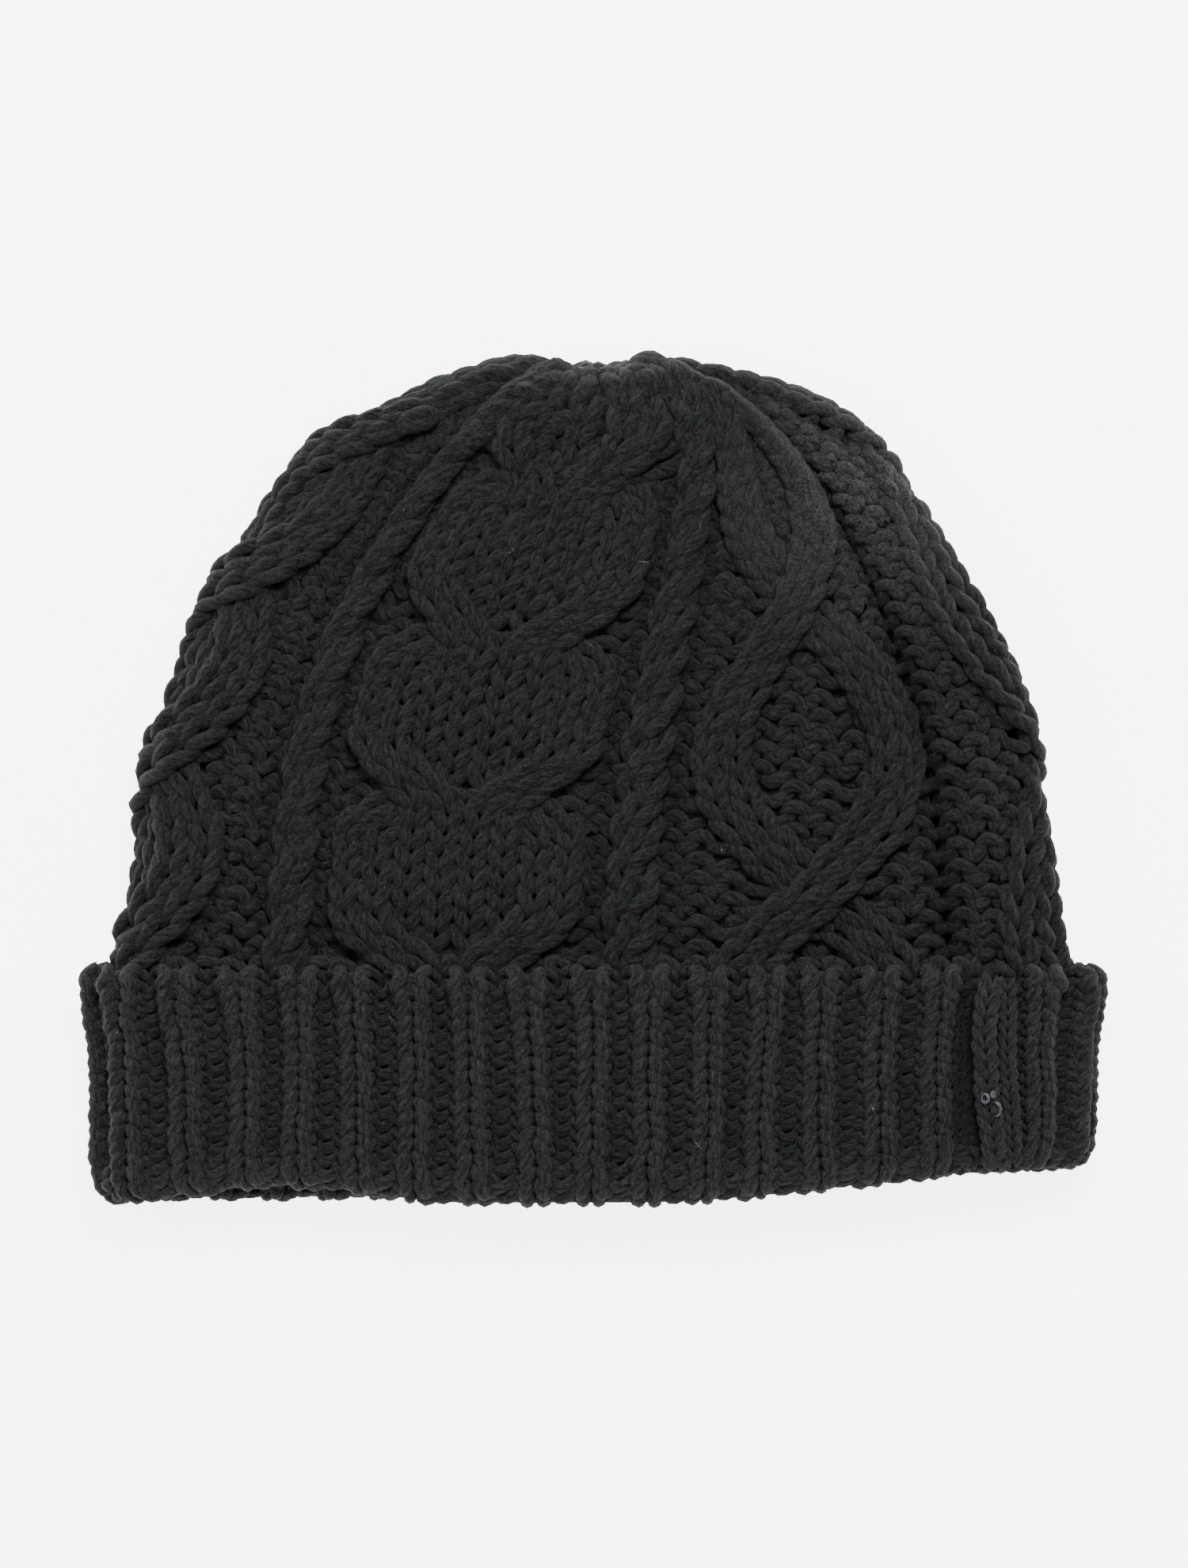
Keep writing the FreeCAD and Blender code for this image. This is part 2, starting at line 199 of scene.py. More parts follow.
def hat_outline():
    """Half width and height along the fabric's mid-line, from the cuff up the side to the crown.
    Three arcs, each tangent to the next: the long side, the shoulder and the shallow crown."""
    side, shoulder, crown = SIDE_RADIUS - BODY_HALF, SHOULDER_RADIUS - BODY_HALF, CROWN_RADIUS - BODY_HALF
    side_at = np.array([BODY_MAX[0] - SIDE_RADIUS, BODY_MAX[1] - SIDE_CENTRE_DROP])
    crown_at = np.array([0.0, BODY_MAX[1] - CROWN_RADIUS])
    apart = np.linalg.norm(crown_at - side_at)
    from_side, from_crown = side - shoulder, crown - shoulder
    forward = (from_side**2 - from_crown**2 + apart**2) / (2 * apart)
    aside = math.sqrt(from_side**2 - forward**2)
    across = (crown_at - side_at) / apart
    left_of = np.array([-across[1], across[0]])
    shoulder_at = side_at + forward * across + aside * left_of
    start = math.asin((BODY_MIN[1] - side_at[1]) / side)
    turn_1, turn_2 = [math.atan2(*(shoulder_at - centre)[::-1]) for centre in (side_at, crown_at)]
    arcs = (
        (side_at, side, start, turn_1),
        (shoulder_at, shoulder, turn_1, turn_2),
        (crown_at, crown, turn_2, math.pi / 2),
    )
    runs = [centre + radius * on_circle(np.linspace(*ends, 400)) for centre, radius, *ends in arcs]
    return walk(np.concatenate(runs), ALONG).T


def body_surface():
    """The mid-surface of the body's fabric, squeezed into the band at its low end. It rounds
    over the top edge and draws in towards the gather."""
    half_widths, heights = hat_outline()
    top = heights[-1]
    full = BODY_MAX[2] / 2 - BODY_HALF - 0.4
    neck = BAND_MAX[2] / 2 - BAND_MIN[2] / 2 - BAND_SIDE
    rounding = full * 1.15
    kept = half_widths > CROWN_WIDTH
    sections = []
    for half_width, height in zip(half_widths[kept], heights[kept]):
        opened = smoothstep(BODY_MIN[1] - 1, BODY_MIN[1] + 20, height)
        half_height = neck + (full - neck) * opened
        over = np.clip((height - (top - rounding)) / rounding, 0, 1)
        half_height *= math.sqrt(max(1 - over**2, 0.0)) * 0.8 + 0.2
        middle = CUFF_MAX[2] / 2 + (BODY_MAX[2] / 2 - CUFF_MAX[2] / 2) * opened
        sections.append((half_width + 2.0 * (1 - opened), half_height, height, middle))
    width, tall, height, middle = sections[-1]
    for step in np.linspace(0, 1, 19)[1:]:
        drawn = smoothstep(-0.4, 1, step)
        rise = 1.4 * math.sin(math.pi * min(1, step * 1.3) / 2) - 3.4 * step**2
        half_width = width + (GATHER_WIDTH - width) * step
        sections.append((half_width, tall + (GATHER_HEIGHT - tall) * drawn, height + rise, middle))
    levels = []
    for half_width, half_height, height, middle in sections:
        x, z = section(half_width, half_height)
        levels.append(np.stack([x, np.full_like(x, height), z + middle], axis=1))
    half_widths, _, heights, _ = zip(*sections)
    return Surface(np.array(levels)), half_widths, heights


def hem_shift(x, front):
    """How far the fold lies above its lowest line: the right side is pulled up, and at the lower
    left the front layer is lifted so that the back one shows."""
    right = smoothstep(8, 118, x)
    lifted = bump(x, -72, 42)
    on_front = 8.6 * right + 4.2 * lifted
    on_back = 7.6 * right
    return on_back + (on_front - on_back) * front


def cuff_surface():
    """The rib's mid-surface: down the outside from the cast-on edge, round the fold, and up
    inside to the body. Returns the surface and the length of each stretch."""
    outer_width, outer_height = CUFF_MAX[0] - CUFF_HALF, CUFF_MAX[2] / 2 - CUFF_HALF
    inner_height = BAND_MAX[2] / 2 - BAND_MIN[2] / 2 - BAND_SIDE
    fold = (outer_height - inner_height) / 2
    middle = CUFF_MAX[2] / 2
    high = EDGE_MAX[1] - 0.8
    low = HEM_MIN[1] + RIB_YARN + 1.2 + fold
    stretches = (high - low, math.pi * fold, BODY_MIN[1] + 1.0 - low)
    total = sum(stretches)
    levels = []
    for distance in np.linspace(0, total, int(total)):
        turned = np.clip((distance - stretches[0]) / stretches[1], 0, 1) * math.pi
        outward = fold * (1 + math.cos(turned))
        if distance < stretches[0]:
            height = high - distance
        else:
            climbed = max(0, distance - stretches[0] - stretches[1])
            height = low - fold * math.sin(turned) + climbed
        share = np.clip((high - height) / (high - low), 0, 1)
        half_width = outer_width - 2 * fold + outward - CUFF_NARROWS * smoothstep(0.06, 0.5, share)
        x, z = section(half_width, inner_height + outward, 3.4)
        front = smoothstep(-3, 3, z)
        y = height + hem_shift(x, front) * share
        levels.append(np.stack([x, y, z + middle], axis=1))
    return Surface(np.array(levels), facing=-1), stretches


CUFF_SURFACE, CUFF_STRETCHES = cuff_surface()


# ---- stitch grids


class StitchGrid:
    """Rows of slots over a surface. A wale's place is a fractional slot, and its point and
    outward normal come from the slots on each side."""

    def __init__(self, surface, slots, rows, first=0.0, last=1.0):
        levels, self.count = slots.shape
        level = np.repeat(np.arange(levels)[:, None], self.count, axis=1).astype(float)
        points, _ = surface.at(level, slots)
        step = np.linalg.norm(np.diff(points, axis=0), axis=2)
        length = np.concatenate([np.zeros((1, self.count)), np.cumsum(step, axis=0)])
        share = np.linspace(first, last, rows * ROW_STEPS + 1)
        at_level = np.empty((len(share), self.count))
        at_turn = np.empty_like(at_level)
        for slot in range(self.count):
            wanted = share * length[-1, slot]
            at_level[:, slot] = np.interp(wanted, length[:, slot], np.arange(levels))
            at_turn[:, slot] = np.interp(at_level[:, slot], np.arange(levels), slots[:, slot])
        self.points, self.normals = surface.at(at_level, at_turn)
        self.row_height = (last - first) * length[-1].mean() / rows
        around = np.linalg.norm(np.roll(self.points, -1, axis=1) - self.points, axis=2)
        self.slot_width = np.median(around)

    def at(self, row, slot):
        """Points and normals at fractional rows and slots. Rows past the ends carry on straight."""
        level = row * ROW_STEPS
        inside = np.clip(level, 0, len(self.points) - 1.001)
        i, j = np.floor(inside).astype(int), np.floor(slot).astype(int)
        s, t = (level - i)[..., None], (slot - j)[..., None]
        j, k = j % self.count, (j + 1) % self.count
        normals = between(self.normals, i, j, k, np.clip(s, 0, 1), t)
        return between(self.points, i, j, k, s, t), unit(normals)


class Wales:
    """Each wale's kind, and its place and lift at every step of a row."""

    def __init__(self, rows):
        self.row = np.arange(-2 * TABLE_STEPS, (rows + 3) * TABLE_STEPS + 1) / TABLE_STEPS
        self.places, self.lifts, self.kinds, self.widths = [], [], [], []
        self.slots = 0

    def add_panel(self, panel, *numbers):
        width, wales = panel(self.row, *numbers)
        for place, kind, lift, *stretch in wales:
            self.places.append(self.slots + place + 0 * self.row)
            self.lifts.append(lift + 0 * self.row)
            self.kinds.append(kind)
            self.widths.append((stretch[0] if stretch else 1.0) + 0 * self.row)
        self.slots += width

    def close(self, decreases=()):
        self.places, self.lifts = np.array(self.places), np.array(self.lifts)
        self.kinds, self.widths = np.array(self.kinds), np.array(self.widths)
        self.lasts = np.full(len(self.kinds), np.inf)
        for row in decreases:
            self.knit_together(row)
        self.slopes = np.gradient(self.places, 1 / TABLE_STEPS, axis=1)
        return self

    def knit_together(self, row):
        """Ends one wale of each pair at a row. The other one widens to fill the gap."""
        order = np.argsort(self.at(self.places, row), kind="stable")
        order = [wale for wale in order if self.lasts[wale] > row][1:]
        joined = smoothstep(row - 1, row + 1, self.row)
        for first, second in zip(order[::2], order[1::2]):
            kept, ended = first, second
            if self.kinds[first] < self.kinds[second]:
                kept, ended = second, first
            self.lasts[ended] = row
            self.widths[kept] = self.widths[kept] * (1 + 0.65 * joined)
            if self.kinds[kept] == self.kinds[ended]:
                self.places[kept] += (self.places[ended] - self.places[kept]) * 0.5 * joined

    def at(self, table, row):
        """A table's values at one row for each wale, or at an array of wales by samples."""
        where = np.clip((row - self.row[0]) * TABLE_STEPS, 0, len(self.row) - 1.001)
        i = np.floor(where).astype(int)
        t = where - i
        wale = np.arange(len(table))
        if np.ndim(row) == 2:
            wale = wale[:, None]
        return table[wale, i] * (1 - t) + table[wale, i + 1] * t


# ---- cable panels

# The relative widths of the slots across each kind of panel
ROPE_WEIGHTS = (0.74, 0.95, 0.95, 0.74)
HORSESHOE_WEIGHTS = (1.0,) * 8
DIAMOND_WEIGHTS = (0.98,) * 8


def purl_panel(row, count):
    """Plain purl ground. A panel gives its width in slots, and for each wale its place, kind
    and lift, and its stretch where that isn't 1."""
    return count, [(index, PURL, -0.2) for index in range(count)]


def rope_panel(row, every, first, way=1):
    """Two knit wales twisted about each other, half a turn every few rows, between purl gutters."""
    turn = np.pi * (row - first) / every
    aside, over = 0.38 * np.cos(turn), 1.35 * np.sin(turn) * way
    return 4, [
        (0, PURL, -2.5),
        (1.5 - aside, KNIT, 1.0 + over, 1.34),
        (1.5 + aside, KNIT, 1.0 - over, 1.34),
        (3, PURL, -2.5),
    ]


def horseshoe_panel(row, every, first):
    """Eight knit wales. Every few rows the inner pairs cross outwards over the outer ones."""
    turn = (row - first) / every
    whole = np.round(turn)
    away = (turn - whole) * every
    near = bump(away, 0.4, 3.4)
    arms = bump(away, 2.2, 5.2)
    even = whole % 2 == 0
    found = []
    for side in (0, 1):
        for pair in (0, 1):
            outwards = even if pair == 0 else ~even
            part = np.where(outwards, smoothstep(-1.5, 1.9, away), smoothstep(-3.2, 0.6, away))
            lift = np.where(outwards, 0.7 + 1.4 * near + 0.7 * arms, 0.7 - 1.5 * near)
            for stitch in (0, 1):
                start = np.where(outwards, 2 + stitch, stitch)
                end = np.where(outwards, stitch, 2 + stitch)
                place = start + (end - start) * part
                found.append((7 - place if side else place, KNIT, lift))
    inwards = 0.9 * bump(away, -0.3, 3.2) - 0.4
    found += [(inwards, PURL, -1.8), (7 - inwards, PURL, -1.8)]
    return 8, found


def diamond_panel(row, every, first, over=1):
    """Two pairs of knit wales that part and meet around four purl wales."""
    turn = np.pi * (row - first) / every
    away = (row - first) - every * np.round((row - first) / every)
    near = bump(away, 0, 3.2)
    opened = np.abs(np.sin(turn))
    swell = 1 + 0.5 * smoothstep(14, 24, row)
    found = []
    for pair in (1, -1):
        front = pair * over * np.cos(turn)
        lift = 1.4 + near * np.where(front > 0, 1.3, -2.0)
        centre = 3.5 + pair * (3.35 - 0.3 * swell) * np.sin(turn)
        for stitch in (-0.5, 0.5):
            found.append((centre + stitch * swell, KNIT, lift, swell))
    for ground in (-1, 1):
        for late, start in ((0.42, 2.5), (0.84, 3.5)):
            passed = smoothstep(late - 0.2, late + 0.2, opened)
            place = 3.5 + ground * (start - 2 * passed)
            behind = bump(opened, late, 0.3)
            found.append((place, PURL, -1.2 - 1.2 * behind))
    return 8, found


def twist_panel(row, every, first, over=1, reach=1.75):
    """Two pairs of knit wales twisted about each other, with purl on each side."""
    turn = np.pi * (row - first) / every
    opened = np.abs(np.sin(turn))
    found = []
    for pair in (1, -1):
        centre = 3.5 + pair * reach * np.sin(turn)
        lift = 2.1 + 1.3 * pair * over * np.cos(turn)
        for stitch in (-0.56, 0.56):
            found.append((centre + stitch, KNIT, lift, 1.12))
        found.append((3.5 + pair * 0.5, KNIT, 2.2 * opened - 1.8))
    for side in (-1, 1):
        found.append((3.5 + side * (3.2 + 0.3 * opened), PURL, -0.6))
        found.append((3.5 + side * (2.1 + 0.8 * opened), PURL, -1.4))
    return 8, found


# Around the hat from the seam: over the right edge, across the back, over the left edge, and
# then across the front from left to right.
BACK_PANELS = (
    ((purl_panel, 1), (0.92,)),
    ((twist_panel, 13.5, 8.2, -1, 2.2), DIAMOND_WEIGHTS),
    ((horseshoe_panel, 8.1, 5.0), HORSESHOE_WEIGHTS),
    ((rope_panel, 2, 0.0, -1), ROPE_WEIGHTS),
    ((diamond_panel, 14.4, 8.0), DIAMOND_WEIGHTS),
    ((rope_panel, 3, 0.5), ROPE_WEIGHTS),
    ((twist_panel, 7.6, 8.4), DIAMOND_WEIGHTS),
)
FRONT_PANELS = (
    ((rope_panel, 2.9, 0.2), ROPE_WEIGHTS),
    ((horseshoe_panel, 8.1, 1.1), HORSESHOE_WEIGHTS),
    ((rope_panel, 2.1, 0.3), ROPE_WEIGHTS),
    ((diamond_panel, 13.0, 3.45), DIAMOND_WEIGHTS),
)
# The lines between the front's panels: the share of the half width at the cuff, how far each
# leans towards the crown, and how late it does.
FRONT_LINES = (
    (-0.745, 0.22, 4.0),
    (-0.585, 0.21, 4.0),
    (-0.032, 0.36, 2.0),
    (0.194, 0.34, 2.5),
    (0.780, -0.05, 3.0),
)


def body_wales():
    wales = Wales(BODY_ROWS)
    for (panel, *numbers), _ in BACK_PANELS + FRONT_PANELS:
        wales.add_panel(panel, *numbers)
    return wales.close(DECREASE_ROWS)


def turns_at(surface, level, shares, half_width):
    """The turns of points on the front, from their shares of the half width."""
    quarter = AROUND // 4
    x = surface.points[level, : quarter + 1, 0]
    turns = np.arange(quarter + 1) / AROUND
    return [math.copysign(np.interp(abs(share) * half_width, x, turns), share) for share in shares]


def middles(edges):
    return (edges[1:] + edges[:-1]) / 2


def spread(start, end, weights):
    """Edges between start and end, with gaps in the proportions of the weights."""
    return start + (end - start) * np.concatenate([[0], np.cumsum(weights)]) / np.sum(weights)


def body_slots(surface, half_widths, heights):
    """The turn of each slot's middle at every level."""
    top, low = max(heights), heights[0]
    back_weights = np.concatenate([weights for _, weights in BACK_PANELS])
    rows = []
    for level, (half_width, height) in enumerate(zip(half_widths, heights)):
        climb = np.clip((height - low) / (top - 8 - low), 0, 1)
        shares = [base + lean * climb**late for base, lean, late in FRONT_LINES]
        marks = turns_at(surface, level, shares, half_width)
        row = [middles(spread(marks[-1], marks[0] + 1, back_weights))]
        for (_, weights), left, right in zip(FRONT_PANELS, marks, marks[1:]):
            row.append(middles(spread(left + 1, right + 1, weights)))
        rows.append(np.concatenate(row))
    return np.array(rows)


# ---- rib

RIBS = 35
SEAM_X = 93.5
SEAM_LEFT, SEAM_RIGHT = 12.3, 10.8  # from the seam to the middle of the rib on each side
FOLD_ROWS = 4
CUFF_ROWS = 15
FOLD_MIDDLE = CUFF_ROWS + 1.5


def rib_wales(rows):
    """A sunk wale under the seam, a purl wale and a knit wale in turn around the cuff, and a
    last sunk wale. The ribs flare at the cast-on edge, and flatten round the fold and inside."""
    wales = Wales(rows)

    def relief(row):
        folded = bump(row, FOLD_MIDDLE, 3.6)
        inside = smoothstep(CUFF_ROWS + 2, CUFF_ROWS + 5, row)
        return (1 - 0.9 * folded) * (1 - 0.6 * inside)

    def flare(row):
        return smoothstep(2.8, 0.0, row)

    def valley(row, depth):
        return 1, [(0, PURL, -depth * relief(row) + 1.4 * flare(row))]

    def one_rib(row):
        knit = (1, KNIT, 1.4 * relief(row), 1.12 + 0.55 * flare(row))
        purl = (0, PURL, -2.9 * relief(row) + 0.9 * flare(row), 1.25 - 0.7 * flare(row))
        return 2, [purl, knit]

    wales.add_panel(valley, 3.6)
    for _ in range(RIBS):
        wales.add_panel(one_rib)
    wales.add_panel(valley, 4.4)
    return wales.close()


def rib_slots(surface):
    """Where the wales of the rib run, with the first on the seam."""
    perimeter = np.linalg.norm(np.diff(surface.points[0], axis=0), axis=1).sum()
    seam_turn = turns_at(surface, 0, [SEAM_X / CUFF_MAX[0]], CUFF_MAX[0])[0]
    first = seam_turn + SEAM_RIGHT / perimeter
    last = seam_turn + 1 - SEAM_LEFT / perimeter
    pitch = (last - first) / (RIBS - 1)
    rib = np.arange(RIBS)
    rows = []
    for level in range(len(surface.points)):
        wander = 0.05 * np.sin(rib * 0.9 + level * 0.035) + 0.04 * np.sin(rib * 2.3 + level * 0.05)
        knits = first + pitch * (rib + wander)
        purls = np.concatenate([[(seam_turn + knits[0]) / 2], (knits[1:] + knits[:-1]) / 2])
        pairs = np.stack([purls, knits], axis=1).ravel()
        end = (knits[-1] + seam_turn + 1) / 2
        rows.append(np.concatenate([[seam_turn], pairs, [end]]))
    return np.array(rows)


# ---- yarn


def stitch_loops(grid, wales, row, loop, t, jitter):
    """Each stitch's own loop at some turns t: its places, rows, lifts and stretch."""
    across = t / (2 * np.pi) + loop["swing"] * np.sin(2 * t) + 0.03 * jitter[:, :1]
    up = LOOP_MIDDLE + loop["rise"] * (1 + 0.03 * jitter[:, 1:2]) * np.cos(t) + 0.04 * jitter[:, 2:3]
    kinds = wales.kinds[:, None]
    rows = row + up - np.where(kinds < 0, loop["tilt"], 0) * across
    stretch = wales.at(wales.widths, rows)
    across = across * stretch
    lean = np.arctan(wales.at(wales.slopes, rows) * grid.slot_width / grid.row_height)
    place = wales.at(wales.places, rows) + across * np.cos(lean)
    rows = rows - across * np.sin(lean) * grid.slot_width / grid.row_height
    lift = wales.at(wales.lifts, rows) - kinds * loop["depth"] * np.cos(2 * t)
    return place, rows, lift, stretch


def sinkers(wales, order, low, depth, slots, t):
    """The places and lifts midway to the neighbouring stitches, where the yarn passes on."""
    place = wales.at(wales.places, low)[order]
    lift = (wales.at(wales.lifts, low) - wales.kinds * depth)[order]
    before, after = np.roll(place, 1), np.roll(place, -1)
    before[0] -= slots
    after[-1] += slots
    middle = np.where(t < 0, ((place + before) / 2)[:, None], ((place + after) / 2)[:, None])
    left_lift, right_lift = (lift + np.roll(lift, 1)) / 2, (lift + np.roll(lift, -1)) / 2
    return middle, np.where(t < 0, left_lift[:, None], right_lift[:, None])


def course(grid, wales, row, loop, samples):
    """The centre-line, normals, size and depth of one course: every stitch's loop, joined to
    its neighbours at the sinkers between them. The depth sets the painted shade in the hollows."""
    low = row + LOOP_MIDDLE - loop["rise"]
    order = np.argsort(wales.at(wales.places, low), kind="stable")
    order = order[wales.lasts[order] > row]
    t = np.linspace(-np.pi, np.pi, samples, endpoint=False)[None, :]
    jitter = loop["jitter"] * RNG.normal(size=(len(wales.kinds), 4))
    place, rows, lift, stretch = stitch_loops(grid, wales, row, loop, t, jitter)
    sinker, sinker_lift = sinkers(wales, order, low, loop["depth"], grid.count, t)
    pull = smoothstep(0.58 * np.pi, np.pi, np.abs(t))
    place = place[order] * (1 - pull) + sinker * pull
    lift = lift[order] * (1 - pull) + sinker_lift * pull + 0.10 * jitter[order, 3:]
    rows = rows[order] * (1 - pull) + low * pull
    if "groove" in loop:
        place, lift = turn_into_seam(place, lift, grid.count, loop["groove"])
    points, normals = grid.at(rows.ravel(), place.ravel())
    purl_size = np.where(wales.kinds[order] < 0, loop.get("purl_yarn", 1.0), 1.0)
    size = 1 + (purl_size[:, None] - 1) * (1 - pull)
    size = size * (1 + 0.3 * (stretch[order] - 1))
    lift = lift.ravel()
    # the last value, from the lift, is how much painted shade the yarn gets in the hollows
    return points + normals * lift[:, None], normals, size.ravel(), smoothstep(0.4, -3.6, lift)


def turn_into_seam(place, lift, slots, depth):
    """Rolls the two edges of the fabric inwards where they are sewn, and opens a narrow groove
    between them."""
    offset = from_seam(place, slots)
    away = np.abs(offset)
    opened = 0.20 * bump(away, 0, 1.6) * smoothstep(0, 0.10, away)
    return place + np.sign(offset) * opened, lift + seam_roll(away, depth)


def from_seam(place, slots):
    """Slots from the seam, which is half a slot before the first one: negative on its left."""
    return (place + 0.5 + slots / 2) % slots - slots / 2


def seam_roll(away, depth):
    """How far the fabric rises at some slots from the seam: a soft swell and then a deep lip."""
    lip = np.clip(1 - away / 0.85, 0, 1)
    return 1.6 * bump(away, 1.4, 1.3) - depth * (1 - np.sqrt(1 - lip**2))


SEAM_SLOTS = np.array([-0.8, -0.62, -0.5, -0.38, -0.2])  # more of the skin's slots, at the seam
FIBRES = {"hat": [], "cuff": []}
FIBRES_PER_SAMPLE = 0.13
FIBRE_SIZE, FIBRE_LENGTH = 0.05, 4.2  # radius and greatest length
LINT_SIZE, LINT_LENGTH = 0.14, 1.2
WORN_AT, WORN_REACH = np.array([65.0, 68.0]), 26.0  # the brushed-up patch at the upper right
LINT_SPECKS = {"hat": 16, "cuff": 17}


def sprout(points, ring, size, body):
    """Remembers roots for loose fibres: points on a strand's surface, and the way out of it."""
    from_patch = np.linalg.norm(points[:, :2] - WORN_AT, axis=1)
    brushed = 1 + 3 * np.exp(-((from_patch / WORN_REACH) ** 2))
    chosen = RNG.random(len(points)) < FIBRES_PER_SAMPLE * brushed
    side = RNG.integers(0, ring.shape[1], chosen.sum())
    outward = ring[chosen, side]
    roots = points[chosen] + outward * size[chosen, None] * 0.9
    FIBRES[body].append(np.stack([roots, outward], axis=1))


def make_fibres(name, body, seeds, size, longest, look):
    """Short loose fibres that stand off the yarn, each a thin curve with a few sides."""
    count, steps, sides = len(seeds), np.linspace(0, 1, 5), 3
    roots, outward = seeds[:, 0], seeds[:, 1]
    drift = unit(RNG.normal(size=(count, 3)))
    bend = RNG.normal(size=(count, 3))
    length = RNG.uniform(0.3 * longest, longest, (count, 1))
    heading = unit(outward * 0.75 + drift)
    bent = bend * 0.55
    droop = outward * 0.5
    lines = np.stack([roots + heading * length * s + bent * s**2 - droop * s**2 for s in steps], axis=1)
    along = unit(np.gradient(lines, axis=1))
    side = unit(np.cross(along, unit(bend + 1e-3)[:, None]))
    over = np.cross(along, side)
    angle = np.arange(sides) * 2 * np.pi / sides
    ring = np.cos(angle)[:, None] * side[:, :, None] + np.sin(angle)[:, None] * over[:, :, None]
    thin = (size * (1 - 0.75 * steps))[None, :, None, None]
    each = len(steps) * sides
    faces = np.arange(count)[:, None, None] * each + grid_quads(len(steps), sides)
    mesh = YarnMesh()
    place = np.repeat(RNG.uniform(0, 40, count), each)
    circle = np.tile(on_circle(angle), (count * len(steps), 1))
    mesh.put(lines[:, :, None] + ring * thin, faces, place, circle, np.zeros(count * each))
    mesh.build(name, look, body, [])


def make_fluff(body):
    """The halo of fibres on a body's yarn, and a few pale specks of lint on its upper side."""
    seeds = np.concatenate(FIBRES[body])
    make_fibres(f"loose_fibres_{body}", body, seeds, FIBRE_SIZE, FIBRE_LENGTH, FIBRE_LOOK)
    upper = seeds[(seeds[:, 1, 2] > 0.8) & (seeds[:, 0, 2] > CUFF_MAX[2] * 0.8)]
    specks = upper[RNG.choice(len(upper), LINT_SPECKS[body], replace=False)]
    tufts = np.repeat(specks, 4, axis=0)
    tufts[:, 0] += 0.12 * RNG.normal(size=(len(tufts), 3))
    make_fibres(f"lint_specks_{body}", body, tufts, LINT_SIZE, LINT_LENGTH, LINT_LOOK)


def show(name, data, location=(0, 0, 0)):
    """A new object in the scene."""
    shown = bpy.data.objects.new(name, data)
    shown.location = location
    bpy.context.scene.collection.objects.link(shown)
    return shown


